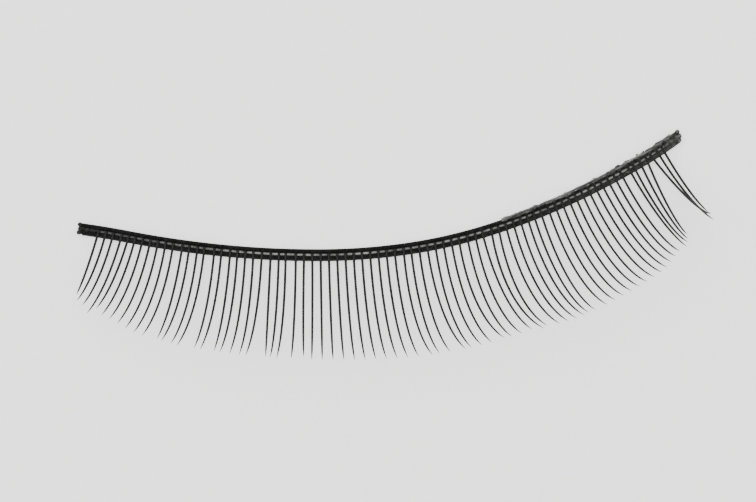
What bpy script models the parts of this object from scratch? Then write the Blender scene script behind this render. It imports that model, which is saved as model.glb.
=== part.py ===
"""False eyelash strip lying on its band: two black threads side by side, a row of curled lashes
knotted over them, a thin film of clear glue under the threads and a crust of dried glue along one end.

Metres, +Z up. The band runs along +X, the lashes leave it towards -Y and curl up, and the glued
underside of the band lies on Z = 0.
"""
import math
from typing import NamedTuple

import bpy
import bmesh
from mathutils import Vector

MM = 0.001

# Band
BAND_LENGTH = 33.0 * MM
THREAD_DIAMETER = 0.21 * MM
GROOVE_WIDTH = 0.17 * MM
END_FLARE = 0.04 * MM
END_FLARE_LENGTH = 0.5 * MM
LOWER_THREAD_SHORTFALL = 0.18 * MM
KNOT_RISE = 0.012 * MM
FIT_CLEARANCE = 0.02 * MM

# Lashes
LASH_COUNT = 76
LASH_LENGTH = 8.0 * MM
LASH_ROOT_DIAMETER = 0.12 * MM
LASH_TIP_DIAMETER = 0.02 * MM
LASH_PROUD = 0.015 * MM

# Glue
FILM_THICKNESS = 0.11 * MM
FILM_MARGIN = 0.02 * MM
FILM_END_INSET = 0.10 * MM
CRUST_DIAMETER = 0.17 * MM
CRUST_SEAT = 55.0
CRUST_FIRST_SHARE = 0.68
CRUST_LAST_SHARE = 0.985

# Fineness of the round forms
THREAD_RESOLUTION = 2
LASH_SIDES = 5
LASH_STEPS = 5
CRUST_SIDES = 8
FILM_STEPS = 40
LOWER_THREAD_STEPS = 48
BAND_STEPS = 1320


class Bend(NamedTuple):
    share: float
    heading: float


class Lash(NamedTuple):
    share: float
    reach: float
    curl: float
    splay: float
    lean: float


class Place(NamedTuple):
    share: float
    along: float


class Stray(NamedTuple):
    shift: float
    splay: float
    lean: float
    curl: float
    stretch: float


class Taper(NamedTuple):
    share: float
    width: float


class Lump(NamedTuple):
    share: float
    size: float


# The band's heading in degrees at shares of its length, from the thin inner end to the full outer end.
BENDS = (
    Bend(share=0.00, heading=-7.6),
    Bend(share=0.08, heading=-11.0),
    Bend(share=0.22, heading=-6.1),
    Bend(share=0.38, heading=-0.1),
    Bend(share=0.52, heading=8.0),
    Bend(share=0.66, heading=18.0),
    Bend(share=0.80, heading=25.3),
    Bend(share=0.92, heading=30.5),
    Bend(share=1.00, heading=37.6),
)

# How the lashes change along the band: their length as a share of the longest, the curl from root to tip,
# the splay at the root and the lean of the curl, in degrees and towards the outer end where positive.
LASHES = (
    Lash(share=0.035, reach=0.580, curl=58, splay=-4.8, lean=-7.0),
    Lash(share=0.060, reach=0.647, curl=58, splay=-3.6, lean=-8.9),
    Lash(share=0.100, reach=0.705, curl=59, splay=-2.9, lean=-9.8),
    Lash(share=0.140, reach=0.784, curl=59, splay=0.3, lean=-13.0),
    Lash(share=0.200, reach=0.843, curl=60, splay=1.5, lean=-10.8),
    Lash(share=0.260, reach=0.873, curl=61, splay=1.8, lean=-7.2),
    Lash(share=0.340, reach=0.897, curl=62, splay=1.1, lean=-2.2),
    Lash(share=0.420, reach=0.925, curl=63, splay=0.4, lean=3.1),
    Lash(share=0.500, reach=0.956, curl=65, splay=-1.8, lean=9.4),
    Lash(share=0.580, reach=0.959, curl=66, splay=-4.6, lean=15.7),
    Lash(share=0.650, reach=0.952, curl=67, splay=-6.6, lean=19.0),
    Lash(share=0.700, reach=0.986, curl=67, splay=-6.6, lean=17.8),
    Lash(share=0.750, reach=0.995, curl=68, splay=-5.8, lean=13.4),
    Lash(share=0.800, reach=0.980, curl=69, splay=-4.4, lean=12.3),
    Lash(share=0.840, reach=0.960, curl=69, splay=-2.0, lean=9.8),
    Lash(share=0.880, reach=0.888, curl=70, splay=-2.6, lean=6.2),
    Lash(share=0.920, reach=0.829, curl=70, splay=-5.2, lean=3.0),
    Lash(share=0.960, reach=0.732, curl=71, splay=-4.2, lean=2.2),
)

# Where the lashes stand: the share of them that are passed at each share of the band.
PLACES = (
    Place(share=0.000, along=0.0345),
    Place(share=0.067, along=0.0936),
    Place(share=0.133, along=0.1535),
    Place(share=0.200, along=0.2180),
    Place(share=0.267, along=0.2812),
    Place(share=0.333, along=0.3475),
    Place(share=0.413, along=0.4256),
    Place(share=0.493, along=0.5035),
    Place(share=0.560, along=0.5686),
    Place(share=0.640, along=0.6465),
    Place(share=0.693, along=0.6963),
    Place(share=0.800, along=0.7918),
    Place(share=0.880, along=0.8607),
    Place(share=0.933, along=0.9072),
    Place(share=1.000, along=0.9613),
)

# Lashes that stray from their neighbours, by number: how far their place is shifted, as a share of the
# spacing, their added splay, lean and curl in degrees, and the factor on their length.
STRAYS = {
    0: Stray(shift=0.00, splay=-1.0, lean=7.5, curl=0, stretch=0.97),
    3: Stray(shift=0.15, splay=-0.5, lean=0.5, curl=0, stretch=1.06),
    4: Stray(shift=0.10, splay=-1.0, lean=1.5, curl=0, stretch=0.96),
    11: Stray(shift=0.15, splay=-1.0, lean=5.5, curl=0, stretch=1.00),
    14: Stray(shift=-0.15, splay=0.0, lean=-2.0, curl=0, stretch=1.00),
    15: Stray(shift=0.10, splay=0.0, lean=2.5, curl=0, stretch=1.00),
    17: Stray(shift=0.10, splay=-0.5, lean=3.5, curl=0, stretch=1.00),
    21: Stray(shift=0.00, splay=-0.5, lean=-2.5, curl=0, stretch=1.00),
    22: Stray(shift=0.05, splay=-1.0, lean=6.0, curl=0, stretch=1.00),
    24: Stray(shift=-0.20, splay=0.5, lean=-2.5, curl=0, stretch=1.00),
    26: Stray(shift=0.00, splay=-1.0, lean=3.5, curl=0, stretch=0.98),
    38: Stray(shift=0.10, splay=-1.0, lean=3.5, curl=0, stretch=1.00),
    41: Stray(shift=0.00, splay=0.5, lean=3.0, curl=0, stretch=1.00),
    45: Stray(shift=-0.05, splay=-1.0, lean=4.5, curl=0, stretch=0.98),
    48: Stray(shift=-0.10, splay=2.5, lean=-3.0, curl=0, stretch=1.00),
    49: Stray(shift=0.10, splay=-3.5, lean=7.5, curl=0, stretch=0.99),
    50: Stray(shift=0.05, splay=-3.0, lean=2.5, curl=0, stretch=0.98),
    55: Stray(shift=-0.10, splay=0.5, lean=-2.5, curl=0, stretch=1.00),
    56: Stray(shift=-0.10, splay=0.0, lean=-2.5, curl=0, stretch=1.00),
    69: Stray(shift=0.25, splay=2.0, lean=0.0, curl=-9, stretch=0.95),
    71: Stray(shift=0.10, splay=-1.5, lean=-1.0, curl=0, stretch=1.00),
    72: Stray(shift=0.20, splay=-5.5, lean=-2.0, curl=0, stretch=1.00),
    73: Stray(shift=-0.05, splay=9.0, lean=-2.5, curl=13, stretch=1.085),
    74: Stray(shift=0.10, splay=1.0, lean=2.5, curl=-8, stretch=1.00),
    75: Stray(shift=0.00, splay=-1.5, lean=-2.0, curl=-4, stretch=0.95),
}
NO_STRAY = Stray(shift=0.0, splay=0.0, lean=0.0, curl=0, stretch=1.0)

# How a lash thins from its root to its tip: its width as a share of the root's.
LASH_TAPER = (
    Taper(share=0.0, width=1.00),
    Taper(share=0.4, width=0.98),
    Taper(share=0.7, width=0.88),
    Taper(share=0.88, width=0.60),
    Taper(share=1.0, width=0.0),
)

# The crust of dried glue: its size as a share of its full section at shares of its own length.
CRUST_LUMPS = (
    Lump(share=0.00, size=0.25),
    Lump(share=0.04, size=0.45),
    Lump(share=0.12, size=0.40),
    Lump(share=0.20, size=0.62),
    Lump(share=0.27, size=0.55),
    Lump(share=0.36, size=0.72),
    Lump(share=0.42, size=1.00),
    Lump(share=0.46, size=0.66),
    Lump(share=0.52, size=0.98),
    Lump(share=0.56, size=0.70),
    Lump(share=0.62, size=0.95),
    Lump(share=0.67, size=1.00),
    Lump(share=0.74, size=0.78),
    Lump(share=0.82, size=0.86),
    Lump(share=0.90, size=0.74),
    Lump(share=0.96, size=0.55),
    Lump(share=1.00, size=0.25),
)

THREAD_RADIUS = THREAD_DIAMETER / 2
THREAD_OFFSET = (GROOVE_WIDTH + THREAD_DIAMETER) / 2
THREAD_HEIGHT = FILM_THICKNESS + FIT_CLEARANCE + KNOT_RISE + THREAD_RADIUS
LASH_HEIGHT = THREAD_HEIGHT + THREAD_RADIUS + LASH_PROUD - LASH_ROOT_DIAMETER / 2


def between(table, share, column):
    """The value of a table's column at a share, on straight lines between its rows."""
    for low, high in zip(table, table[1:]):
        if share <= high.share:
            part = max(0.0, (share - low.share) / (high.share - low.share))
            return getattr(low, column) * (1 - part) + getattr(high, column) * part
    return getattr(table[-1], column)


def walk_band():
    """Points along the middle of the band, at even shares of its length."""
    step = BAND_LENGTH / BAND_STEPS
    point = Vector((0.0, 0.0, 0.0))
    points = [point.copy()]
    for index in range(BAND_STEPS):
        heading = math.radians(between(BENDS, (index + 0.5) / BAND_STEPS, "heading"))
        point += step * Vector((math.cos(heading), math.sin(heading), 0.0))
        points.append(point.copy())
    return points


BAND_WALK = walk_band()


def on_band(share, across, height):
    """A point beside the middle of the band; across is positive towards the lashes."""
    place = min(max(share, 0.0), 1.0) * BAND_STEPS
    index = min(int(place), BAND_STEPS - 1)
    point = BAND_WALK[index].lerp(BAND_WALK[index + 1], place - index)
    along, outward = band_directions(share)
    return point + across * outward + Vector((0.0, 0.0, height))


def band_directions(share):
    """The directions along the band and out of it, towards the lashes."""
    heading = math.radians(between(BENDS, share, "heading"))
    along = Vector((math.cos(heading), math.sin(heading), 0.0))
    outward = Vector((math.sin(heading), -math.cos(heading), 0.0))
    return along, outward


def lash_place(index):
    """The share of the band at which a lash stands."""
    number = index + STRAYS.get(index, NO_STRAY).shift
    return between(PLACES, number / (LASH_COUNT - 1), "along")


def thread_across(share):
    """How far a thread's middle lies from the middle of the band: the two ends spread apart."""
    from_end = min(share, 1.0 - share) * BAND_LENGTH
    spread = max(0.0, 1.0 - from_end / END_FLARE_LENGTH)
    return THREAD_OFFSET + END_FLARE * spread ** 2


def add_material(name, colour, roughness, alpha=1.0):
    material = bpy.data.materials.new(name)
    material.use_nodes = True
    shader = material.node_tree.nodes["Principled BSDF"]
    shader.inputs["Base Color"].default_value = (*colour, 1.0)
    shader.inputs["Roughness"].default_value = roughness
    shader.inputs["Metallic"].default_value = 0.0
    shader.inputs["Alpha"].default_value = alpha
    return material


def add_outline(name, corners, collection):
    """A closed outline, anticlockwise, that a curve sweeps along its points."""
    data = bpy.data.curves.new(name, "CURVE")
    data.dimensions = "2D"
    data.fill_mode = "NONE"
    spline = data.splines.new("POLY")
    spline.points.add(len(corners) - 1)
    spline.use_cyclic_u = True
    for point, (x, y) in zip(spline.points, corners):
        point.co = (x, y, 0.0, 1.0)
    outline = bpy.data.objects.new(name, data)
    collection.objects.link(outline)
    mark_as_helper(outline)
    return outline


def add_ring(name, diameter, sides, collection):
    """A round outline with flat sides."""
    angles = [2 * math.pi * (side + 0.5) / sides for side in range(sides)]
    corners = [(diameter / 2 * math.cos(angle), diameter / 2 * math.sin(angle)) for angle in angles]
    return add_outline(name, corners, collection)


def add_tubes(name, routes, collection, depth=0.0, resolution=0, ring=None):
    """A curve object with one tube for each route, a list of points with their radius factors."""
    data = bpy.data.curves.new(name, "CURVE")
    data.dimensions = "3D"
    data.use_fill_caps = True
    if ring:
        data.bevel_mode = "OBJECT"
        data.bevel_object = ring
    else:
        data.bevel_depth = depth
        data.bevel_resolution = resolution
    for route in routes:
        spline = data.splines.new("POLY")
        spline.points.add(len(route) - 1)
        for corner, (point, factor) in zip(spline.points, route):
            corner.co = (*point, 1.0)
            corner.radius = factor
    tubes = bpy.data.objects.new(name, data)
    collection.objects.link(tubes)
    return tubes


def curve_to_mesh(curve, name, collection):
    """The curve's tubes as a mesh object with welded caps; the curve is removed."""
    bpy.context.view_layer.update()
    evaluated = curve.evaluated_get(bpy.context.evaluated_depsgraph_get())
    mesh = bpy.data.meshes.new_from_object(evaluated)
    shell = bmesh.new()
    shell.from_mesh(mesh)
    bmesh.ops.remove_doubles(shell, verts=shell.verts, dist=FIT_CLEARANCE / 100)
    bmesh.ops.recalc_face_normals(shell, faces=shell.faces)
    shell.to_mesh(mesh)
    shell.free()
    solid = bpy.data.objects.new(name, mesh)
    solid.matrix_world = curve.matrix_world
    collection.objects.link(solid)
    bpy.data.objects.remove(curve)
    return solid


def mark_as_helper(helper):
    helper.hide_render = True
    helper.display_type = "WIRE"


def finish(piece, material, holder):
    piece.data.materials.clear()
    piece.data.materials.append(material)
    piece.parent = holder


def make_upper_thread(collection, holder):
    """The thread on the eyelid's side, a little thicker where each lash is knotted round it."""
    knots = [lash_place(index) for index in range(LASH_COUNT)]
    plain = [(low + high) / 2 for low, high in zip(knots, knots[1:])]
    first_step = knots[0] - (plain[0] - knots[0])
    last_step = knots[-1] + (knots[-1] - plain[-1])
    ends = [0.0, first_step / 3, 2 * first_step / 3, first_step]
    ends += [last_step, (2 * last_step + 1) / 3, (last_step + 2) / 3, 1.0]
    route = []
    for share in sorted(knots + plain + ends):
        factor = 1.0 + KNOT_RISE / THREAD_RADIUS if share in knots else 1.0
        route.append((on_band(share, -thread_across(share), THREAD_HEIGHT), factor))
    thread = add_tubes("upper_thread", [route], collection, THREAD_RADIUS, THREAD_RESOLUTION)
    thread.data.splines[0].use_smooth = True
    finish(thread, add_material("black_cotton", (0.012, 0.012, 0.013), 0.75), holder)


def lash_route(index):
    """A lash's middle line, from the groove over the lower thread and up its curl, with its widths."""
    share = lash_place(index)
    stray = STRAYS.get(index, NO_STRAY)
    along, outward = band_directions(share)
    splay = math.radians(between(LASHES, share, "splay") + stray.splay)
    lean = math.radians(between(LASHES, share, "lean") + stray.lean)
    curl = math.radians(between(LASHES, share, "curl") + stray.curl)
    length = LASH_LENGTH * between(LASHES, share, "reach") * stray.stretch
    away = math.cos(splay) * outward + math.sin(splay) * along
    sideways = math.cos(splay) * along - math.sin(splay) * outward
    rise = math.cos(lean) * Vector((0.0, 0.0, 1.0)) + math.sin(lean) * sideways
    radius = length / curl
    first_across = KNOT_RISE + FIT_CLEARANCE - GROOVE_WIDTH / 2
    clear_of_thread = GROOVE_WIDTH / 2 + THREAD_DIAMETER + LASH_ROOT_DIAMETER - first_across
    root = on_band(share, first_across, LASH_HEIGHT)
    shares = [0.0] + [clear_of_thread / length * (1 - step / LASH_STEPS) + step / LASH_STEPS
                      for step in range(LASH_STEPS + 1)]
    route = []
    for part in shares:
        angle = part * curl
        point = root + radius * math.sin(angle) * away + radius * (1 - math.cos(angle)) * rise
        width = LASH_TIP_DIAMETER + (LASH_ROOT_DIAMETER - LASH_TIP_DIAMETER) * between(LASH_TAPER, part, "width")
        route.append((point, width / LASH_ROOT_DIAMETER))
    return route


def make_lash_fringe(collection, helpers, holder):
    """The lower thread with every lash fused to it."""
    last = 1.0 - LOWER_THREAD_SHORTFALL / BAND_LENGTH
    near_end = END_FLARE_LENGTH / BAND_LENGTH / 2
    shares = [last * step / LOWER_THREAD_STEPS for step in range(LOWER_THREAD_STEPS + 1)]
    shares = sorted(shares + [near_end, last - near_end])
    route = [(on_band(share, thread_across(share), THREAD_HEIGHT), 1.0) for share in shares]
    thread = add_tubes("lower_thread_line", [route], collection, THREAD_RADIUS, THREAD_RESOLUTION)
    fringe = curve_to_mesh(thread, "lash_fringe", collection)

    ring = add_ring("lash_ring", LASH_ROOT_DIAMETER, LASH_SIDES, helpers)
    routes = [lash_route(index) for index in range(LASH_COUNT)]
    lines = add_tubes("lash_lines", routes, helpers, ring=ring)
    lashes = curve_to_mesh(lines, "lashes", helpers)
    mark_as_helper(lashes)
    union = fringe.modifiers.new("lashes_joined", "BOOLEAN")
    union.operation = "UNION"
    union.solver = "EXACT"
    union.use_self = True
    union.object = lashes
    lashes.parent = holder
    finish(fringe, add_material("black_fibre", (0.015, 0.014, 0.014), 0.40), holder)


def make_glue_film(collection, helpers, holder):
    """The film of clear glue under both threads, which also rises between them, up to the lashes.

    Its flat underside is the face that is stuck down.
    """
    base = THREAD_OFFSET + THREAD_RADIUS + FILM_MARGIN
    rib = GROOVE_WIDTH / 2 - KNOT_RISE - FIT_CLEARANCE
    rib_top = LASH_HEIGHT - LASH_ROOT_DIAMETER / 2 - FIT_CLEARANCE
    corners = [(-base, 0.0), (base, 0.0), (base, FILM_THICKNESS), (rib, FILM_THICKNESS),
               (rib, rib_top), (-rib, rib_top), (-rib, FILM_THICKNESS), (-base, FILM_THICKNESS)]
    section = add_outline("film_section", corners, helpers)
    inset = (FILM_END_INSET + LOWER_THREAD_SHORTFALL) / BAND_LENGTH
    shares = [inset + (1.0 - 2 * inset) * step / FILM_STEPS for step in range(FILM_STEPS + 1)]
    route = [(on_band(share, 0.0, 0.0), 1.0) for share in shares]
    line = add_tubes("film_line", [route], helpers, ring=section)
    line.data.twist_mode = "Z_UP"
    film = curve_to_mesh(line, "glue_film", collection)
    finish(film, add_material("clear_glue", (0.55, 0.55, 0.54), 0.30, 0.6), holder)


def make_glue_crust(collection, helpers, holder):
    """The uneven crust of dried glue that lies on the outer side of the upper thread, near the outer end."""
    ring = add_ring("crust_ring", CRUST_DIAMETER, CRUST_SIDES, helpers)
    seat = math.radians(CRUST_SEAT)
    route = []
    for lump in CRUST_LUMPS:
        share = CRUST_FIRST_SHARE + (CRUST_LAST_SHARE - CRUST_FIRST_SHARE) * lump.share
        reach = THREAD_RADIUS + KNOT_RISE + FIT_CLEARANCE + CRUST_DIAMETER / 2 * lump.size
        across = thread_across(share) + reach * math.cos(seat)
        route.append((on_band(share, -across, THREAD_HEIGHT + reach * math.sin(seat)), lump.size))
    line = add_tubes("crust_line", [route], helpers, ring=ring)
    crust = curve_to_mesh(line, "glue_crust", collection)
    finish(crust, add_material("dried_glue", (0.30, 0.30, 0.29), 0.65), holder)


def centre_on_origin(collection, holder):
    """Moves the holder so that the middle of the whole strip stands over the origin."""
    bpy.context.view_layer.update()
    depsgraph = bpy.context.evaluated_depsgraph_get()
    corners = []
    for piece in collection.objects:
        if piece is holder:
            continue
        evaluated = piece.evaluated_get(depsgraph)
        mesh = evaluated.to_mesh()
        corners += [evaluated.matrix_world @ vertex.co for vertex in mesh.vertices]
        evaluated.to_mesh_clear()
    for axis in range(2):
        values = [corner[axis] for corner in corners]
        holder.location[axis] = -(min(values) + max(values)) / 2
    bpy.context.view_layer.update()


def main():
    for old in list(bpy.data.objects):
        bpy.data.objects.remove(old, do_unlink=True)
    collection = bpy.data.collections.new("false_eyelash_strip")
    helpers = bpy.data.collections.new("cutters")
    for group in (collection, helpers):
        bpy.context.scene.collection.children.link(group)
    holder = bpy.data.objects.new("strip", None)
    collection.objects.link(holder)
    make_glue_film(collection, helpers, holder)
    make_upper_thread(collection, holder)
    make_lash_fringe(collection, helpers, holder)
    make_glue_crust(collection, helpers, holder)
    centre_on_origin(collection, holder)


main()
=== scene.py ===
"""The false eyelash strip dressed: tapered curled hairs looped round the upper thread and laid over the
lower one, two twisted black threads, grey dried glue in the groove between them, dark dabs of glue at both
ends and a flaky crust of glue along the outer end.
"""
import math
import random
from typing import NamedTuple

import bmesh
import bpy
from mathutils import Matrix, Vector


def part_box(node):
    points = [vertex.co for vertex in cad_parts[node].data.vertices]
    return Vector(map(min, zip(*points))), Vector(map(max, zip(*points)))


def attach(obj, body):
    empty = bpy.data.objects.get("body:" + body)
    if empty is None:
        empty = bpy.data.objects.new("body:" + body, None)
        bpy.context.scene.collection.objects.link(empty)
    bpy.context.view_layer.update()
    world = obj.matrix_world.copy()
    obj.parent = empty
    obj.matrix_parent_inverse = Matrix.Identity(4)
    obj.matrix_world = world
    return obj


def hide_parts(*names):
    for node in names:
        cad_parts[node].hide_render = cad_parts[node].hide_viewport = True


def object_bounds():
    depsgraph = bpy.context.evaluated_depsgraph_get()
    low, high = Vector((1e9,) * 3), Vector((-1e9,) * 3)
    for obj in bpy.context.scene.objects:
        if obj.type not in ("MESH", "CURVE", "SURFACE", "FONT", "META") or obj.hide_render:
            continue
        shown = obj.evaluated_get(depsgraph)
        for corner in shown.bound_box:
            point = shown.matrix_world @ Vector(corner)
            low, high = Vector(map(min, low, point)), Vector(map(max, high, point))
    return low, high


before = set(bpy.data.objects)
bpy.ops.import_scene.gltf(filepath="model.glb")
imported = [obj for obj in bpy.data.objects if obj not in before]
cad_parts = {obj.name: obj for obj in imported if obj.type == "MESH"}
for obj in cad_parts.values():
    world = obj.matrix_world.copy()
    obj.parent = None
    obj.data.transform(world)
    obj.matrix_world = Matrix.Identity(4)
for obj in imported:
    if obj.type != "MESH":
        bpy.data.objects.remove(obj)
CAD_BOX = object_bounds()

MM = 0.001

# Band
BAND_LENGTH = 33.0 * MM
THREAD_DIAMETER = 0.21 * MM
GROOVE_WIDTH = 0.17 * MM
END_FLARE = 0.04 * MM
END_FLARE_LENGTH = 0.5 * MM
LOWER_THREAD_SHORTFALL = 0.18 * MM
KNOT_RISE = 0.012 * MM
FIT_CLEARANCE = 0.02 * MM
FILM_THICKNESS = 0.11 * MM
FILM_MARGIN = 0.02 * MM
FILM_END_INSET = 0.10 * MM
FILM_STEPS = 40
FILM_ROWS = 700
FILM_COLUMNS = 20
BAND_STEPS = 1320

# Lashes
LASH_COUNT = 76
LASH_LENGTH = 8.0 * MM
LASH_ROOT_DIAMETER = 0.12 * MM
LASH_TIP_DIAMETER = 0.02 * MM
LASH_PROUD = 0.015 * MM
HAIR_DIAMETER = 0.135 * MM
HAIR_SIDES = 8
HAIR_RINGS = 16

# Twist of the threads
PLIES = 3
PLY_RADIUS = 0.052 * MM
PLY_TURN = 0.5 * MM
PLY_SIDES = 8
PLY_STEPS = 10
THREAD_PATH_POINTS = 265

# Loops of hair round the upper thread
LOOP_RADIUS = 0.047 * MM
LOOP_SIDES = 6
LOOP_STEPS = 7
LOOP_ANGLE = 230.0
LOOP_TAIL = 0.02 * MM
LOOP_SPREAD = 0.048 * MM

# Crust of dried glue
CRUST_FIRST_SHARE = 0.68
CRUST_LAST_SHARE = 0.985
CRUST_RISE = 0.058 * MM
CRUST_HEADING = 27.0
CRUST_PATH_POINTS = 150
CRUST_SIDES = 24
CRUST_CUTS = 260
CRUST_LOW_ANGLE = -30.0
CRUST_HIGH_ANGLE = 92.0
CRUST_TEAR = 8.0
CRUST_WALL = 0.03 * MM
FLAKE_COUNT = 110

# Dark glue at the ends: dabs in the groove, smaller and lower further in, and a knob on each thread's tip
DABS_PER_END = 7
DAB_INSET = 0.16 * MM
DAB_SPACING = 0.14 * MM
DAB_RADII = (0.13 * MM, 0.155 * MM, 0.075 * MM)
DAB_SINK = 0.017 * MM
DAB_SHRINK = 0.008 * MM
KNOB_LENGTH = 0.24 * MM
KNOB_RADII = (KNOB_LENGTH / 2, 0.121 * MM, 0.112 * MM)

# Camera
CAMERA_ELEVATION = 82.0
CAMERA_DISTANCE = 180.0 * MM
CAMERA_LENS = 164.57
CAMERA_TARGET = (-0.7583 * MM, -0.1347 * MM, 0.0)

THREAD_RADIUS = THREAD_DIAMETER / 2
THREAD_OFFSET = (GROOVE_WIDTH + THREAD_DIAMETER) / 2
THREAD_HEIGHT = FILM_THICKNESS + FIT_CLEARANCE + KNOT_RISE + THREAD_RADIUS
LASH_HEIGHT = THREAD_HEIGHT + THREAD_RADIUS + LASH_PROUD - LASH_ROOT_DIAMETER / 2
FILM_HALF_WIDTH = THREAD_OFFSET + THREAD_RADIUS + FILM_MARGIN
FILM_INSET_SHARE = (FILM_END_INSET + LOWER_THREAD_SHORTFALL) / BAND_LENGTH
TINY = 0.0005 * MM
UP = Vector((0.0, 0.0, 1.0))


class Bend(NamedTuple):
    share: float
    heading: float


class Lash(NamedTuple):
    share: float
    reach: float
    curl: float
    splay: float
    lean: float


class Place(NamedTuple):
    share: float
    along: float


class Stray(NamedTuple):
    shift: float
    splay: float
    lean: float
    curl: float
    stretch: float


class Taper(NamedTuple):
    share: float
    width: float


class Flake(NamedTuple):
    share: float
    angle: float
    size: float
    draw: float


# The band's heading in degrees at shares of its length, from the thin inner end to the full outer end.
BENDS = (
    Bend(share=0.00, heading=-7.6),
    Bend(share=0.08, heading=-11.0),
    Bend(share=0.22, heading=-6.1),
    Bend(share=0.38, heading=-0.1),
    Bend(share=0.52, heading=8.0),
    Bend(share=0.66, heading=18.0),
    Bend(share=0.80, heading=25.3),
    Bend(share=0.92, heading=30.5),
    Bend(share=1.00, heading=37.6),
)

# How the lashes change along the band: their length as a share of the longest, the curl from root to tip,
# the splay at the root and the lean of the curl, in degrees and towards the outer end where positive.
LASHES = (
    Lash(share=0.035, reach=0.580, curl=58, splay=-4.8, lean=-7.0),
    Lash(share=0.060, reach=0.647, curl=58, splay=-3.6, lean=-8.9),
    Lash(share=0.100, reach=0.705, curl=59, splay=-2.9, lean=-9.8),
    Lash(share=0.140, reach=0.784, curl=59, splay=0.3, lean=-13.0),
    Lash(share=0.200, reach=0.843, curl=60, splay=1.5, lean=-10.8),
    Lash(share=0.260, reach=0.873, curl=61, splay=1.8, lean=-7.2),
    Lash(share=0.340, reach=0.897, curl=62, splay=1.1, lean=-2.2),
    Lash(share=0.420, reach=0.925, curl=63, splay=0.4, lean=3.1),
    Lash(share=0.500, reach=0.956, curl=65, splay=-1.8, lean=9.4),
    Lash(share=0.580, reach=0.959, curl=66, splay=-4.6, lean=15.7),
    Lash(share=0.650, reach=0.952, curl=67, splay=-6.6, lean=19.0),
    Lash(share=0.700, reach=0.986, curl=67, splay=-6.6, lean=17.8),
    Lash(share=0.750, reach=0.995, curl=68, splay=-5.8, lean=13.4),
    Lash(share=0.800, reach=0.980, curl=69, splay=-4.4, lean=12.3),
    Lash(share=0.840, reach=0.960, curl=69, splay=-2.0, lean=9.8),
    Lash(share=0.880, reach=0.888, curl=70, splay=-2.6, lean=6.2),
    Lash(share=0.920, reach=0.829, curl=70, splay=-5.2, lean=3.0),
    Lash(share=0.960, reach=0.732, curl=71, splay=-4.2, lean=2.2),
)

# Where the lashes stand: the share of them that are passed at each share of the band.
PLACES = (
    Place(share=0.000, along=0.0345),
    Place(share=0.067, along=0.0936),
    Place(share=0.133, along=0.1535),
    Place(share=0.200, along=0.2180),
    Place(share=0.267, along=0.2812),
    Place(share=0.333, along=0.3475),
    Place(share=0.413, along=0.4256),
    Place(share=0.493, along=0.5035),
    Place(share=0.560, along=0.5686),
    Place(share=0.640, along=0.6465),
    Place(share=0.693, along=0.6963),
    Place(share=0.800, along=0.7918),
    Place(share=0.880, along=0.8607),
    Place(share=0.933, along=0.9072),
    Place(share=1.000, along=0.9613),
)

# Lashes that stray from their neighbours, by number: how far their place is shifted, as a share of the
# spacing, their added splay, lean and curl in degrees, and the factor on their length.
STRAYS = {
    0: Stray(shift=0.00, splay=-1.0, lean=7.5, curl=0, stretch=0.97),
    3: Stray(shift=0.15, splay=-0.5, lean=0.5, curl=0, stretch=1.06),
    4: Stray(shift=0.10, splay=-1.0, lean=1.5, curl=0, stretch=0.96),
    11: Stray(shift=0.15, splay=-1.0, lean=5.5, curl=0, stretch=1.00),
    14: Stray(shift=-0.15, splay=0.0, lean=-2.0, curl=0, stretch=1.00),
    15: Stray(shift=0.10, splay=0.0, lean=2.5, curl=0, stretch=1.00),
    17: Stray(shift=0.10, splay=-0.5, lean=3.5, curl=0, stretch=1.00),
    21: Stray(shift=0.00, splay=-0.5, lean=-2.5, curl=0, stretch=1.00),
    22: Stray(shift=0.05, splay=-1.0, lean=6.0, curl=0, stretch=1.00),
    24: Stray(shift=-0.20, splay=0.5, lean=-2.5, curl=0, stretch=1.00),
    26: Stray(shift=0.00, splay=-1.0, lean=3.5, curl=0, stretch=0.98),
    38: Stray(shift=0.10, splay=-1.0, lean=3.5, curl=0, stretch=1.00),
    41: Stray(shift=0.00, splay=0.5, lean=3.0, curl=0, stretch=1.00),
    45: Stray(shift=-0.05, splay=-1.0, lean=4.5, curl=0, stretch=0.98),
    48: Stray(shift=-0.10, splay=2.5, lean=-3.0, curl=0, stretch=1.00),
    49: Stray(shift=0.10, splay=-3.5, lean=7.5, curl=0, stretch=0.99),
    50: Stray(shift=0.05, splay=-3.0, lean=2.5, curl=0, stretch=0.98),
    55: Stray(shift=-0.10, splay=0.5, lean=-2.5, curl=0, stretch=1.00),
    56: Stray(shift=-0.10, splay=0.0, lean=-2.5, curl=0, stretch=1.00),
    69: Stray(shift=0.25, splay=2.0, lean=0.0, curl=-9, stretch=0.95),
    71: Stray(shift=0.10, splay=-1.5, lean=-1.0, curl=0, stretch=1.00),
    72: Stray(shift=0.20, splay=-5.5, lean=-2.0, curl=0, stretch=1.00),
    73: Stray(shift=-0.05, splay=9.0, lean=-2.5, curl=13, stretch=1.085),
    74: Stray(shift=0.10, splay=1.0, lean=2.5, curl=-8, stretch=1.00),
    75: Stray(shift=0.00, splay=-1.5, lean=-2.0, curl=-4, stretch=0.95),
}
NO_STRAY = Stray(shift=0.0, splay=0.0, lean=0.0, curl=0, stretch=1.0)

# How a lash thins along its length: 1 is the width of its root and 0 that of its tip.
LASH_TAPER = (
    Taper(share=0.0, width=1.00),
    Taper(share=0.4, width=0.98),
    Taper(share=0.7, width=0.88),
    Taper(share=0.88, width=0.60),
    Taper(share=1.0, width=0.0),
)

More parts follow.
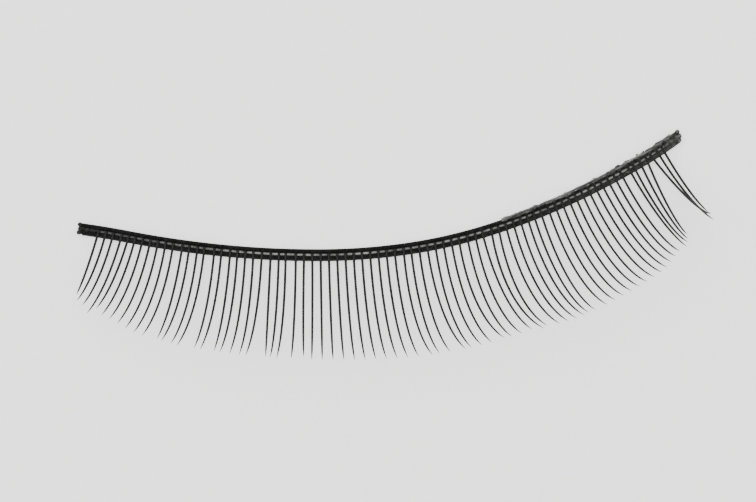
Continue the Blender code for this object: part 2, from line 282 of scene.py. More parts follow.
# Crumbs that stand up from the crust: the share of its length, the angle over its side, their size and how
# far they are drawn out along it.
CRUMBS = (
    Flake(share=0.08, angle=20.0, size=0.035 * MM, draw=2.0),
    Flake(share=0.19, angle=12.0, size=0.050 * MM, draw=2.2),
    Flake(share=0.36, angle=25.0, size=0.040 * MM, draw=1.8),
    Flake(share=0.53, angle=12.0, size=0.055 * MM, draw=1.6),
    Flake(share=0.67, angle=10.0, size=0.075 * MM, draw=2.0),
    Flake(share=0.72, angle=22.0, size=0.065 * MM, draw=2.6),
    Flake(share=0.79, angle=5.0, size=0.080 * MM, draw=0.9),
    Flake(share=0.83, angle=0.0, size=0.055 * MM, draw=0.9),
    Flake(share=0.91, angle=20.0, size=0.050 * MM, draw=2.4),
)


def between(table, share, column):
    """The value of a table's column at a share, on straight lines between its rows."""
    for low, high in zip(table, table[1:]):
        if share <= high.share:
            part = max(0.0, (share - low.share) / (high.share - low.share))
            return getattr(low, column) * (1 - part) + getattr(high, column) * part
    return getattr(table[-1], column)


def walk_band():
    """Points along the middle of the band, at even shares of its length."""
    step = BAND_LENGTH / BAND_STEPS
    point = Vector((0.0, 0.0, 0.0))
    points = [point.copy()]
    for index in range(BAND_STEPS):
        heading = math.radians(between(BENDS, (index + 0.5) / BAND_STEPS, "heading"))
        point += step * Vector((math.cos(heading), math.sin(heading), 0.0))
        points.append(point.copy())
    return points


def even_shares(first, last, count):
    """So many shares of the band's length, evenly from the first to the last."""
    return [first + (last - first) * step / (count - 1) for step in range(count)]


def band_directions(share):
    """The directions along the band and out of it, towards the lashes."""
    heading = math.radians(between(BENDS, share, "heading"))
    along = Vector((math.cos(heading), math.sin(heading), 0.0))
    outward = Vector((math.sin(heading), -math.cos(heading), 0.0))
    return along, outward


def on_walk(share, across, height):
    """A point beside the middle of the band, before the band is laid on its place."""
    place = min(max(share, 0.0), 1.0) * BAND_STEPS
    index = min(int(place), BAND_STEPS - 1)
    point = BAND_WALK[index].lerp(BAND_WALK[index + 1], place - index)
    along, outward = band_directions(share)
    return point + across * outward + Vector((0.0, 0.0, height))


def find_strip_place():
    """How far the walked band is moved so that its glue film lies on the film of the frame."""
    shares = even_shares(FILM_INSET_SHARE, 1.0 - FILM_INSET_SHARE, FILM_STEPS + 1)
    edges = [on_walk(share, side * FILM_HALF_WIDTH, 0.0) for share in shares for side in (-1, 1)]
    low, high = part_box("glue_film")
    place = Vector((0.0, 0.0, 0.0))
    for axis in range(2):
        values = [edge[axis] for edge in edges]
        place[axis] = (low[axis] + high[axis]) / 2 - (min(values) + max(values)) / 2
    return place


BAND_WALK = walk_band()
STRIP_PLACE = find_strip_place()


def on_band(share, across, height):
    """A point beside the middle of the band; across is positive towards the lashes."""
    return on_walk(share, across, height) + STRIP_PLACE


def lash_place(index):
    """The share of the band at which a lash stands."""
    number = index + STRAYS.get(index, NO_STRAY).shift
    return between(PLACES, number / (LASH_COUNT - 1), "along")


def thread_across(share):
    """How far a thread's middle lies from the middle of the band: the two ends spread apart."""
    from_end = min(share, 1.0 - share) * BAND_LENGTH
    spread = max(0.0, 1.0 - from_end / END_FLARE_LENGTH)
    return THREAD_OFFSET + END_FLARE * spread ** 2


def pick(piece):
    """Leaves only this piece selected and active."""
    bpy.ops.object.select_all(action="DESELECT")
    piece.select_set(True)
    bpy.context.view_layer.objects.active = piece


def start_piece(name):
    """Names the primitive that was just added."""
    piece = bpy.context.object
    piece.name = name
    piece.data.name = name
    return piece


def edit(piece):
    pick(piece)
    bpy.ops.object.mode_set(mode="EDIT")


def leave_edit():
    bpy.ops.object.mode_set(mode="OBJECT")


def select_points(piece, test):
    """In edit mode, selects the points whose place passes the test."""
    bpy.ops.mesh.select_mode(type="VERT")
    bpy.ops.mesh.select_all(action="DESELECT")
    shell = bmesh.from_edit_mesh(piece.data)
    for vertex in shell.verts:
        vertex.select_set(test(vertex.co))
    shell.select_flush(True)
    bmesh.update_edit_mesh(piece.data)


def close_ends(piece, sides):
    """Caps every open end and turns all faces outwards."""
    edit(piece)
    bpy.ops.mesh.select_mode(type="VERT")
    bpy.ops.mesh.select_all(action="SELECT")
    bpy.ops.mesh.remove_doubles(threshold=TINY)
    bpy.ops.mesh.select_all(action="DESELECT")
    bpy.ops.mesh.select_non_manifold()
    bpy.ops.mesh.fill_holes(sides=sides)
    bpy.ops.mesh.select_all(action="SELECT")
    bpy.ops.mesh.normals_make_consistent(inside=False)
    leave_edit()


def apply_modifiers(piece):
    pick(piece)
    for modifier in list(piece.modifiers):
        bpy.ops.object.modifier_apply(modifier=modifier.name)


def settle(piece):
    """Puts the object's place into its mesh."""
    pick(piece)
    bpy.ops.object.transform_apply(location=True, rotation=True, scale=True)


def join_pieces(pieces, name):
    bpy.ops.object.select_all(action="DESELECT")
    for piece in pieces:
        piece.select_set(True)
    bpy.context.view_layer.objects.active = pieces[0]
    bpy.ops.object.join()
    whole = bpy.context.object
    whole.name = name
    whole.data.name = name
    return whole


def copy_piece(piece):
    twin = piece.copy()
    twin.data = piece.data.copy()
    bpy.context.scene.collection.objects.link(twin)
    return twin


def finish(piece, material, angle):
    """Gives a piece its material and smooths all edges that turn less than the angle."""
    piece.data.materials.clear()
    piece.data.materials.append(material)
    pick(piece)
    bpy.ops.object.shade_smooth_by_angle(angle=math.radians(angle))
    return piece


def turned(x_way, y_way, z_way):
    """The turn that points a piece's own axes these ways."""
    return Matrix((x_way, y_way, z_way)).transposed().to_4x4()


def put(piece, spot, turn):
    """Turns a piece, moves it to its spot and leaves both in its mesh."""
    piece.matrix_world = Matrix.Translation(spot) @ turn
    settle(piece)
    return piece


def add_lumps(piece, name, grain, strength, middle=0.5, layers=2):
    """Swells and sinks the surface in soft lumps of this grain."""
    clouds = bpy.data.textures.new(name, "CLOUDS")
    clouds.noise_scale = grain
    clouds.noise_depth = layers
    lumps = piece.modifiers.new(name, "DISPLACE")
    lumps.texture = clouds
    lumps.texture_coords = "LOCAL"
    lumps.strength = strength
    lumps.mid_level = middle
    return lumps


def lay_path(name, points):
    """A hidden guide line that a straight piece is bent along."""
    data = bpy.data.curves.new(name, "CURVE")
    data.dimensions = "3D"
    data.twist_mode = "Z_UP"
    spline = data.splines.new("POLY")
    spline.points.add(len(points) - 1)
    for corner, point in zip(spline.points, points):
        corner.co = (*point, 1.0)
    path = bpy.data.objects.new(name, data)
    bpy.context.scene.collection.objects.link(path)
    path.hide_render = True
    return path, sum((b - a).length for a, b in zip(points, points[1:]))


def bend_along(piece, path):
    """Bends a piece that lies along +X onto the path and takes the path away."""
    bend = piece.modifiers.new("along_band", "CURVE")
    bend.object = path
    bend.deform_axis = "POS_X"
    apply_modifiers(piece)
    bpy.data.objects.remove(path)


def add_nodes(name):
    """A new material with its shader, its node tree and the object coordinates."""
    material = bpy.data.materials.new(name)
    material.use_nodes = True
    tree = material.node_tree
    shader = tree.nodes["Principled BSDF"]
    place = tree.nodes.new("ShaderNodeTexCoord")
    return material, tree, shader, place.outputs["Object"]


def add_noise(tree, place, scale, detail=4.0, draw=1.0, heading=0.0):
    """Noise of so many grains a metre, drawn out along the heading."""
    mapping = tree.nodes.new("ShaderNodeMapping")
    mapping.vector_type = "TEXTURE"
    mapping.inputs["Rotation"].default_value = (0.0, 0.0, math.radians(heading))
    mapping.inputs["Scale"].default_value = (draw, 1.0, 1.0)
    noise = tree.nodes.new("ShaderNodeTexNoise")
    noise.inputs["Scale"].default_value = scale
    noise.inputs["Detail"].default_value = detail
    tree.links.new(place, mapping.inputs["Vector"])
    tree.links.new(mapping.outputs["Vector"], noise.inputs["Vector"])
    return noise.outputs["Fac"]


def add_ramp(tree, value, stops):
    """A grey ramp through (place, grey) stops."""
    ramp = tree.nodes.new("ShaderNodeValToRGB")
    elements = ramp.color_ramp.elements
    while len(elements) < len(stops):
        elements.new(0.5)
    for element, (spot, grey) in zip(elements, stops):
        element.position = spot
        element.color = (grey, grey, grey * 0.99, 1.0)
    tree.links.new(value, ramp.inputs["Fac"])
    return ramp.outputs["Color"]


def add_bump(tree, shader, height, depth, strength=1.0):
    bump = tree.nodes.new("ShaderNodeBump")
    bump.inputs["Strength"].default_value = strength
    bump.inputs["Distance"].default_value = depth
    tree.links.new(height, bump.inputs["Height"])
    tree.links.new(bump.outputs["Normal"], shader.inputs["Normal"])


def own_map(tree, channel):
    """One channel of the piece's own map: X along the strip, Y across it."""
    source = tree.nodes.new("ShaderNodeUVMap")
    source.uv_map = "UVMap"
    split = tree.nodes.new("ShaderNodeSeparateXYZ")
    tree.links.new(source.outputs["UV"], split.inputs["Vector"])
    return split.outputs[channel]


def share_along(tree, place):
    """The share of the strip's width at a point, from its inner to its outer end."""
    split = tree.nodes.new("ShaderNodeSeparateXYZ")
    spread = tree.nodes.new("ShaderNodeMapRange")
    spread.inputs["From Min"].default_value = CAD_BOX[0][0]
    spread.inputs["From Max"].default_value = CAD_BOX[1][0]
    tree.links.new(place, split.inputs["Vector"])
    tree.links.new(split.outputs["X"], spread.inputs["Value"])
    return spread.outputs["Result"]


def multiply(tree, first, second):
    mix = tree.nodes.new("ShaderNodeMix")
    mix.data_type = "RGBA"
    mix.blend_type = "MULTIPLY"
    mix.inputs["Factor"].default_value = 1.0
    tree.links.new(first, mix.inputs[6])
    tree.links.new(second, mix.inputs[7])
    return mix.outputs[2]


def black_fibre():
    """Black synthetic hair with a soft sheen."""
    material, tree, shader, place = add_nodes("black_fibre")
    grain = add_noise(tree, place, 9000.0)
    tree.links.new(add_ramp(tree, grain, ((0.3, 0.010), (0.7, 0.026))), shader.inputs["Base Color"])
    tree.links.new(add_ramp(tree, grain, ((0.3, 0.42), (0.7, 0.56))), shader.inputs["Roughness"])
    shader.inputs["Specular IOR Level"].default_value = 0.15
    add_bump(tree, shader, grain, 0.001 * MM, 0.3)
    return material


def glue_dust_and_sheen(tree, place):
    """How much the threads and loops are greyed, partly by dried glue and partly by a painted sheen of the
    lit, glossy glue on top: little at first, much along the outer end.
    """
    patches = add_ramp(tree, add_noise(tree, place, 4200.0, 5.0), ((0.36, 0.5), (0.5, 0.8), (0.66, 1.5)))
    # The rise towards the outer end is partly dried glue and partly painted sheen of the lit, glossy glue on
    # the band's top there.
    along = add_ramp(tree, share_along(tree, place), (
        (0.0, 0.30), (0.62, 0.30), (0.70, 0.50), (0.79, 0.90), (0.87, 1.20), (0.94, 2.00), (1.0, 2.50)))
    return multiply(tree, along, patches)


def glued_fibre():
    """The loops of black hair, matt where glue has dried on them."""
    material, tree, shader, place = add_nodes("glued_fibre")
    grain = add_noise(tree, place, 9000.0)
    shade = add_ramp(tree, grain, ((0.3, 0.022), (0.6, 0.045), (0.75, 0.110)))
    # Greyed towards the outer end by dried glue and by painted sheen.
    tree.links.new(multiply(tree, shade, glue_dust_and_sheen(tree, place)), shader.inputs["Base Color"])
    tree.links.new(add_ramp(tree, grain, ((0.3, 0.5), (0.7, 0.7))), shader.inputs["Roughness"])
    shader.inputs["Specular IOR Level"].default_value = 0.15
    add_bump(tree, shader, grain, 0.004 * MM, 0.6)
    return material


def black_cotton():
    """Twisted black cotton, stiff with glue and greyer towards the outer end, where dried glue and a painted
    sheen of the lit glue on top grey it.
    """
    material, tree, shader, place = add_nodes("black_cotton")
    fibres = add_noise(tree, place, 14000.0, 6.0, 3.0)
    shade = add_ramp(tree, fibres, ((0.3, 0.018), (0.55, 0.032), (0.75, 0.090)))
    dust_and_sheen = glue_dust_and_sheen(tree, place)
    # Greyed towards the outer end by dried glue and by painted sheen.
    tree.links.new(multiply(tree, shade, dust_and_sheen), shader.inputs["Base Color"])
    tree.links.new(add_ramp(tree, fibres, ((0.3, 0.6), (0.7, 0.9))), shader.inputs["Roughness"])
    shader.inputs["Specular IOR Level"].default_value = 0.18
    add_bump(tree, shader, fibres, 0.004 * MM, 0.8)
    return material


def clear_glue():
    """Milky dried glue in the groove, thicker and paler in the middle of the strip, with painted shade
    darkening it towards its edges beside and under the threads.
    """
    material, tree, shader, place = add_nodes("clear_glue")
    film_grey = add_ramp(tree, own_map(tree, "X"), (
        (0.00, 0.02), (0.08, 0.05), (0.13, 0.10), (0.20, 0.20), (0.27, 0.44), (0.34, 0.56), (0.40, 0.12),
        (0.45, 0.50), (0.51, 0.14), (0.57, 0.36), (0.63, 0.42), (0.70, 0.28), (0.77, 0.22), (0.83, 0.38),
        (0.92, 0.32), (0.97, 0.22), (1.00, 0.15)))
    # Painted shade: the film is darkened towards its edges, where it meets and runs under the black threads.
    edges = add_ramp(tree, own_map(tree, "Y"), (
        (0.38, 0.05), (0.45, 0.55), (0.50, 1.0), (0.55, 0.55), (0.62, 0.05)))
    film_grey = multiply(tree, film_grey, edges)
    clouds = add_ramp(tree, add_noise(tree, place, 3200.0, 3.0), ((0.35, 0.35), (0.5, 0.8), (0.65, 1.35)))
    tree.links.new(multiply(tree, film_grey, clouds), shader.inputs["Base Color"])
    shader.inputs["Roughness"].default_value = 0.32
    shader.inputs["Subsurface Weight"].default_value = 0.15
    shader.inputs["Subsurface Radius"].default_value = (0.00015, 0.00015, 0.00015)
    shader.inputs["Subsurface Scale"].default_value = 1.0
    add_bump(tree, shader, add_noise(tree, place, 9000.0), 0.006 * MM, 0.6)
    return material


def dried_glue():
    """Grey streaky flakes of dried glue, pale on the outer side and darker over the thread."""
    material, tree, shader, place = add_nodes("dried_glue")
    streaks = add_noise(tree, place, 9000.0, 5.0, 5.0, CRUST_HEADING)
    shade = add_ramp(tree, streaks, ((0.34, 0.03), (0.44, 0.10), (0.53, 0.22), (0.64, 0.50)))
    around = add_ramp(tree, own_map(tree, "X"), (
        (0.00, 1.2), (0.10, 0.95), (0.15, 0.5), (0.20, 0.25), (0.30, 0.2), (0.80, 0.8), (1.00, 1.2)))
    tree.links.new(multiply(tree, shade, around), shader.inputs["Base Color"])
    tree.links.new(add_ramp(tree, streaks, ((0.3, 0.45), (0.7, 0.75))), shader.inputs["Roughness"])
    add_bump(tree, shader, streaks, 0.03 * MM, 1.0)
    return material


def dark_glue():
    """Glue that has run into the ends of the threads and dried nearly black."""
    material, tree, shader, place = add_nodes("dark_glue")
    clouds = add_noise(tree, place, 6000.0)
    shade = add_ramp(tree, clouds, ((0.35, 0.012), (0.65, 0.10)))
    ends = add_ramp(tree, share_along(tree, place), ((0.0, 0.35), (0.7, 0.6), (1.0, 1.5)))
    tree.links.new(multiply(tree, shade, ends), shader.inputs["Base Color"])
    shader.inputs["Roughness"].default_value = 0.6
    shader.inputs["Specular IOR Level"].default_value = 0.2
    add_bump(tree, shader, clouds, 0.008 * MM, 0.6)
    return material


def white_board():
    """The smooth white board under the strip."""
    material, tree, shader, place = add_nodes("white_board")
    shader.inputs["Emission Color"].default_value = (1.0, 1.0, 1.0, 1.0)
    shader.inputs["Emission Strength"].default_value = 1.0
    clouds = add_noise(tree, place, 60.0)
    tree.links.new(add_ramp(tree, clouds, ((0.3, 0.94), (0.7, 0.96))), shader.inputs["Base Color"])
    shader.inputs["Roughness"].default_value = 0.9
    shader.inputs["Specular IOR Level"].default_value = 0.0
    return material


def model_hair():
    """One straight hair along +Z, as long as the longest lash, drawn out ring by ring to its fine tip."""
    bpy.ops.object.select_all(action="DESELECT")
    bpy.ops.mesh.primitive_circle_add(vertices=HAIR_SIDES, radius=HAIR_DIAMETER / 2, fill_type="NGON")
    hair = start_piece("hair")
    edit(hair)
    bpy.ops.mesh.select_mode(type="FACE")
    bpy.ops.mesh.select_all(action="SELECT")
    rings = [step / HAIR_RINGS for step in range(HAIR_RINGS + 1)]
    widths = [LASH_TIP_DIAMETER + (HAIR_DIAMETER - LASH_TIP_DIAMETER) * between(LASH_TAPER, ring, "width")
              for ring in rings]
    for low, high, old, new in zip(rings, rings[1:], widths, widths[1:]):
        rise = LASH_LENGTH * (high - low)
        bpy.ops.mesh.extrude_region_move(TRANSFORM_OT_translate={"value": (0.0, 0.0, rise)})
        bpy.ops.transform.resize(value=(new / old, new / old, 1.0))
    bpy.ops.mesh.select_all(action="SELECT")
    bpy.ops.mesh.normals_make_consistent(inside=False)
    leave_edit()
    return hair


def model_lash(hair, index):
    """A copy of the hair at its own length, bent to its curl and stood on its place."""
    share = lash_place(index)
    stray = STRAYS.get(index, NO_STRAY)
    along, outward = band_directions(share)
    splay = math.radians(between(LASHES, share, "splay") + stray.splay)
    lean = math.radians(between(LASHES, share, "lean") + stray.lean)
    curl = math.radians(between(LASHES, share, "curl") + stray.curl)
    length = LASH_LENGTH * between(LASHES, share, "reach") * stray.stretch
    away = math.cos(splay) * outward + math.sin(splay) * along
    sideways = math.cos(splay) * along - math.sin(splay) * outward
    rise = math.cos(lean) * UP + math.sin(lean) * sideways
    root = on_band(share, KNOT_RISE + FIT_CLEARANCE - GROOVE_WIDTH / 2, LASH_HEIGHT)

    lash = copy_piece(hair)
    lash.scale = (1.0, 1.0, length / LASH_LENGTH)
    settle(lash)
    bend = lash.modifiers.new("curl", "SIMPLE_DEFORM")
    bend.deform_method = "BEND"
    bend.deform_axis = "X"
    bend.angle = curl
    apply_modifiers(lash)
    return put(lash, root, turned(rise.cross(away), rise, away))


def model_loop():
    """One loop of hair: over the groove, over the upper thread and back under it.

    It is drawn across the band at the origin, with +Y towards the lashes.
    """
    bpy.ops.object.select_all(action="DESELECT")
    start = (0.0, LOOP_TAIL - GROOVE_WIDTH / 4, LASH_HEIGHT)
    bpy.ops.mesh.primitive_circle_add(vertices=LOOP_SIDES, radius=LOOP_RADIUS, location=start,
                                      rotation=(math.radians(90.0), 0.0, 0.0))
    loop = start_piece("loop")
    settle(loop)
    edit(loop)
    bpy.ops.mesh.select_all(action="SELECT")
    reach = -THREAD_OFFSET - start[1]
    rise = THREAD_HEIGHT + THREAD_RADIUS - LASH_HEIGHT
    bpy.ops.mesh.extrude_region_move(TRANSFORM_OT_translate={"value": (0.0, reach, rise)})
    bpy.ops.mesh.spin(steps=LOOP_STEPS, angle=math.radians(LOOP_ANGLE),
                      center=(0.0, -THREAD_OFFSET, THREAD_HEIGHT), axis=(1.0, 0.0, 0.0))
    leave_edit()
    close_ends(loop, LOOP_SIDES)
    return loop


def place_loop(loop, index, side, spread):
    """Lays one strand of a lash's double loop on the band, beside the lash's own line."""
    share = lash_place(index)
    along, outward = band_directions(share)
    spot = on_band(share, 0.0, 0.0) + side * spread * along
    return put(copy_piece(loop), spot, turned(-along, outward, UP))


def make_lashes(material):
    """All the hairs, as one piece."""
    hair = model_hair()
    lashes = join_pieces([model_lash(hair, index) for index in range(LASH_COUNT)], "lashes")
    bpy.data.objects.remove(hair)
    return finish(lashes, material, 60.0)


def make_hair_loops(material):
    """The double loops by which the hairs are tied, as one piece."""
    loop = model_loop()
    chance = random.Random(23)
    strands = [place_loop(loop, index, side, LOOP_SPREAD * chance.uniform(0.7, 1.35))
               for index in range(LASH_COUNT) for side in (-1, 1)]
    bpy.data.objects.remove(loop)
    return finish(join_pieces(strands, "hair_loops"), material, 60.0)


def make_thread(name, side, last_share, material):
    """A thread of three plies twisted together, laid along its side of the band."""
    trim = KNOB_LENGTH / 4 / BAND_LENGTH
    points = [on_band(share, side * thread_across(share), THREAD_HEIGHT)
              for share in even_shares(trim, last_share - trim, THREAD_PATH_POINTS)]
    path, length = lay_path(name + "_path", points)

    bpy.ops.object.select_all(action="DESELECT")
    bpy.ops.mesh.primitive_circle_add(vertices=PLY_SIDES, radius=PLY_RADIUS,
                                      location=(0.0, THREAD_RADIUS - PLY_RADIUS, 0.0),
                                      rotation=(0.0, math.radians(90.0), 0.0))
    thread = start_piece(name)
    settle(thread)
    edit(thread)
    bpy.ops.mesh.select_all(action="SELECT")
    for ply in range(1, PLIES):
        bpy.ops.mesh.duplicate_move()
        bpy.ops.transform.rotate(value=math.radians(360.0 / PLIES), orient_axis="X",
                                 center_override=(0.0, 0.0, 0.0))
    leave_edit()
    turns = max(1, round(length / PLY_TURN))
    twist = thread.modifiers.new("twist", "SCREW")
    twist.axis = "X"
    twist.angle = math.radians(360.0)
    twist.screw_offset = length / turns
    twist.iterations = turns
    twist.steps = PLY_STEPS
    twist.render_steps = PLY_STEPS
    apply_modifiers(thread)
    close_ends(thread, PLY_SIDES)
    bend_along(thread, path)
    return finish(thread, material, 60.0)


def make_glue_film(material):
    """The film of glue under the threads, drawn up between them into an uneven hollow surface."""
    shares = even_shares(FILM_INSET_SHARE, 1.0 - FILM_INSET_SHARE, THREAD_PATH_POINTS)
    path, length = lay_path("film_path", [on_band(share, 0.0, 0.0) for share in shares])

    bpy.ops.object.select_all(action="DESELECT")
    bpy.ops.mesh.primitive_grid_add(x_subdivisions=FILM_ROWS, y_subdivisions=FILM_COLUMNS, size=1.0)
    film = start_piece("glue_film_fine")
    film.scale = (length, 2 * FILM_HALF_WIDTH, 1.0)
    film.location = (length / 2, 0.0, FILM_THICKNESS)
    settle(film)
    edit(film)
    half = GROOVE_WIDTH / 2
    groove = half * 1.2
    for edge, lift in ((groove, 0.055 * MM), (half * 0.95, 0.05 * MM), (half * 0.5, -0.012 * MM)):
        select_points(film, lambda co: abs(co.y) < edge)
        bpy.ops.transform.translate(value=(0.0, 0.0, lift))
    leave_edit()
    hollow = film.vertex_groups.new(name="groove")
    hollow.add([v.index for v in film.data.vertices if abs(v.co.y) < groove], 1.0, "ADD")
    lumps = add_lumps(film, "glue_lumps", 0.28 * MM, 0.07 * MM)
    lumps.vertex_group = "groove"
    lumps.direction = "Z"
    apply_modifiers(film)
    edit(film)
    bpy.ops.mesh.select_mode(type="FACE")
    bpy.ops.mesh.select_all(action="SELECT")
    bpy.ops.mesh.extrude_region_move(TRANSFORM_OT_translate={"value": (0.0, 0.0, -FILM_THICKNESS)})
    bpy.ops.transform.resize(value=(1.0, 1.0, 0.0), center_override=(0.0, 0.0, 0.0))
    bpy.ops.mesh.select_all(action="SELECT")
    bpy.ops.mesh.normals_make_consistent(inside=False)
    leave_edit()
    bend_along(film, path)
    return finish(film, material, 50.0)


def make_end_dabs(material):
    """Dark glue that fills the groove behind both ends, with a knob on the tip of each thread."""
    chance = random.Random(11)
    long, wide, deep = DAB_RADII
    lumps = []
    for end, inward in ((0.0, 1.0), (1.0, -1.0)):
        for step in range(DABS_PER_END):
            share = end + inward * (DAB_INSET + DAB_SPACING * step) / BAND_LENGTH
            across = chance.uniform(-0.02, 0.02) * MM
            shrink = DAB_SHRINK * step
            lumps.append((share, across, THREAD_HEIGHT - DAB_SINK - shrink, (long, wide - shrink, deep)))
    short = LOWER_THREAD_SHORTFALL / BAND_LENGTH
    back = KNOB_LENGTH * 0.45 / BAND_LENGTH
    for share, side in ((back, -1), (back, 1), (1.0 - back, -1), (1.0 - short - back, 1)):
        lumps.append((share, side * thread_across(share), THREAD_HEIGHT, KNOB_RADII))
    dabs = []
    for share, across, height, radii in lumps:
        bpy.ops.object.select_all(action="DESELECT")
        bpy.ops.mesh.primitive_ico_sphere_add(subdivisions=2, radius=1.0)
        along, outward = band_directions(share)
        shape = turned(along, -outward, UP) @ Matrix.Diagonal((*radii, 1.0))
        dabs.append(put(start_piece("dab"), on_band(share, across, height), shape))
    whole = join_pieces(dabs, "end_dabs")
    add_lumps(whole, "dab_lumps", 0.12 * MM, 0.03 * MM)
    apply_modifiers(whole)
    return finish(whole, material, 60.0)


def model_flake():
    """One flat flake of dried glue with a drawn-out tip and a small top."""
    bpy.ops.object.select_all(action="DESELECT")
    bpy.ops.mesh.primitive_ico_sphere_add(subdivisions=1, radius=1.0)
    flake = start_piece("flake")
    edit(flake)
    select_points(flake, lambda co: co.z > 0.9)
    bpy.ops.transform.translate(value=(-0.25, 0.1, -0.3))
    select_points(flake, lambda co: co.x > 0.8)
    bpy.ops.transform.translate(value=(0.35, 0.0, -0.2))
    leave_edit()
    return flake


def model_crust_shell(length, chance):
    """A thin tube of glue along +X, torn off all round but for its outer and upper side."""
    bpy.ops.object.select_all(action="DESELECT")
    bpy.ops.mesh.primitive_cylinder_add(vertices=CRUST_SIDES, radius=THREAD_RADIUS + CRUST_RISE, depth=length,
                                        location=(length / 2, 0.0, 0.0), end_fill_type="NOTHING",
                                        rotation=(0.0, math.radians(90.0), 0.0))
    shell = start_piece("glue_crust_fine")
    settle(shell)
    edit(shell)
    bpy.ops.mesh.select_mode(type="EDGE")
    bpy.ops.mesh.select_all(action="DESELECT")
    tube = bmesh.from_edit_mesh(shell.data)
    for edge in tube.edges:
        first, second = edge.verts
        edge.select_set(abs(first.co.x - second.co.x) > length / 2)
    bmesh.update_edit_mesh(shell.data)
    bpy.ops.mesh.subdivide(number_cuts=CRUST_CUTS)
    leave_edit()

    edit(shell)
    bpy.ops.mesh.select_mode(type="FACE")
    bpy.ops.mesh.select_all(action="DESELECT")
    tube = bmesh.from_edit_mesh(shell.data)
    for face in tube.faces:
        middle = face.calc_center_median()
        angle = math.degrees(math.atan2(middle.z, middle.y))
        wave = 14.0 * math.sin(middle.x / MM * 2.3) + 10.0 * math.sin(middle.x / MM * 7.1 + 1.0)
        low = CRUST_LOW_ANGLE + 0.4 * wave + chance.uniform(-CRUST_TEAR, CRUST_TEAR)
        high = CRUST_HIGH_ANGLE + 0.8 * wave + chance.uniform(-CRUST_TEAR, CRUST_TEAR)
        face.select_set(not low < angle < high)
    bmesh.update_edit_mesh(shell.data)
    bpy.ops.mesh.delete(type="FACE")
    leave_edit()

    add_lumps(shell, "crust_lumps", 0.16 * MM, 0.065 * MM, 0.4, 3)
    add_lumps(shell, "crust_pits", 0.07 * MM, 0.05 * MM)
    wall = shell.modifiers.new("thickness", "SOLIDIFY")
    wall.thickness = CRUST_WALL
    wall.offset = -1.0
    apply_modifiers(shell)
    return shell


def stick_flakes(length, chance):
    """Copies of the flake, stuck all over the crust with its larger crumbs."""
    flakes = [Flake(share=chance.uniform(0.01, 0.99), angle=chance.uniform(-10.0, 95.0),
                    size=chance.uniform(0.014, 0.030) * MM, draw=chance.uniform(2.5, 9.0))
              for number in range(FLAKE_COUNT)]
    flake = model_flake()
    stuck = []
    for share, angle, size, draw in (*flakes, *CRUMBS):
        angle = math.radians(angle)
        reach = THREAD_RADIUS + CRUST_RISE + size / 2
        spot = Vector((length * share, reach * math.cos(angle), reach * math.sin(angle)))
        turn = Matrix.Rotation(angle, 4, "X") @ Matrix.Rotation(chance.uniform(-0.12, 0.12), 4, "Y")
        stretch = Matrix.Diagonal((size * draw, size * 0.8, size, 1.0))
        stuck.append(put(copy_piece(flake), spot, turn @ stretch))
    bpy.data.objects.remove(flake)
    return stuck


def make_glue_crust(material):
    """The flaky crust on the outer side of the upper thread, a torn shell with crumbs stuck to it."""
    shares = even_shares(CRUST_FIRST_SHARE, CRUST_LAST_SHARE, CRUST_PATH_POINTS)
    points = [on_band(share, -thread_across(share), THREAD_HEIGHT) for share in shares]
    path, length = lay_path("crust_path", points)
    chance = random.Random(5)
    shell = model_crust_shell(length, chance)
    crust = join_pieces([shell, *stick_flakes(length, chance)], "glue_crust_fine")
    add_lumps(crust, "crumb_grain", 0.05 * MM, 0.02 * MM)
    apply_modifiers(crust)
    edit(crust)
    bpy.ops.mesh.select_all(action="SELECT")
    bpy.ops.mesh.normals_make_consistent(inside=False)
    leave_edit()
    bend_along(crust, path)
    return finish(crust, material, 35.0)


def make_board():
    """The pale board that the strip lies on."""
    bpy.ops.object.select_all(action="DESELECT")
    bpy.ops.mesh.primitive_grid_add(x_subdivisions=4, y_subdivisions=4, size=2.0)
    board = start_piece("board")
    board.data.materials.append(white_board())


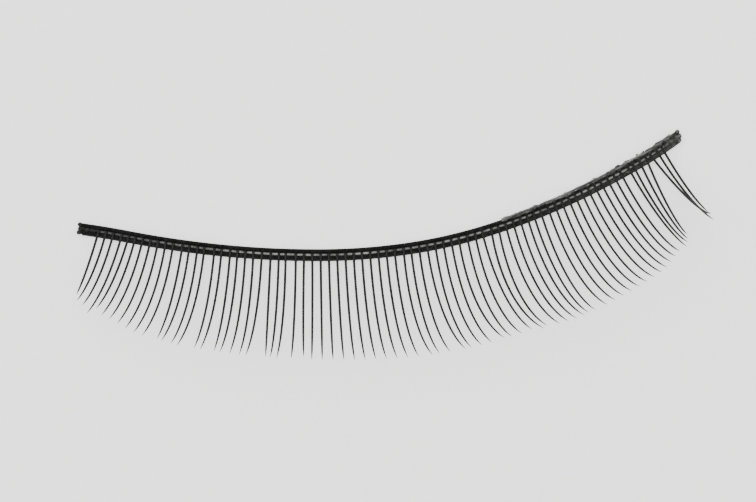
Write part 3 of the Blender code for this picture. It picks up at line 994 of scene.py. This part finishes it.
def add_lights():
    """Even white light from all round with one broad soft lamp above."""
    world = bpy.data.worlds.new("studio")
    world.use_nodes = True
    sky = world.node_tree.nodes["Background"]
    sky.inputs["Color"].default_value = (1.0, 1.0, 1.0, 1.0)
    sky.inputs["Strength"].default_value = 1.0
    bpy.context.scene.world = world
    lamp = bpy.data.lights.new("soft_lamp", "AREA")
    lamp.size = 0.5
    lamp.energy = 1.2
    lamp_object = bpy.data.objects.new("soft_lamp", lamp)
    lamp_object.location = (-0.12, 0.10, 0.42)
    lamp_object.rotation_euler = lamp_object.location.to_track_quat("Z", "Y").to_euler()
    bpy.context.scene.collection.objects.link(lamp_object)


def add_camera():
    """A long lens almost straight above the strip, leaning a little towards the lashes' side."""
    elevation = math.radians(CAMERA_ELEVATION)
    back = Vector((0.0, -math.cos(elevation), math.sin(elevation)))
    lens = bpy.data.cameras.new("camera")
    lens.sensor_width = 36.0
    lens.lens = CAMERA_LENS
    lens.clip_start = 0.001
    lens.clip_end = 10.0
    camera = bpy.data.objects.new("camera", lens)
    camera.location = Vector(CAMERA_TARGET) + CAMERA_DISTANCE * back
    camera.rotation_euler = back.to_track_quat("Z", "Y").to_euler()
    bpy.context.scene.collection.objects.link(camera)
    bpy.context.scene.camera = camera


def main():
    fibre = black_fibre()
    cotton = black_cotton()
    lower_last = 1.0 - LOWER_THREAD_SHORTFALL / BAND_LENGTH

    lashes = make_lashes(fibre)
    loops = make_hair_loops(glued_fibre())
    lower_thread = make_thread("lower_thread", 1.0, lower_last, cotton)
    upper_thread = make_thread("upper_thread_fine", -1.0, 1.0, cotton)
    film = make_glue_film(clear_glue())
    dabs = make_end_dabs(dark_glue())
    crust = make_glue_crust(dried_glue())

    for piece, slot in ((lashes, "black_fibre"), (loops, "black_fibre"), (lower_thread, "black_cotton"),
                        (upper_thread, "black_cotton"), (film, "clear_glue"), (dabs, "dried_glue"),
                        (crust, "dried_glue")):
        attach(piece, "root")
    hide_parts("lash_fringe")
    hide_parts("lash_fringe")
    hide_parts("lash_fringe")
    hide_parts("upper_thread")
    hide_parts("glue_film")
    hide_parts("glue_crust")

    make_board()
    add_lights()
    add_camera()


main()
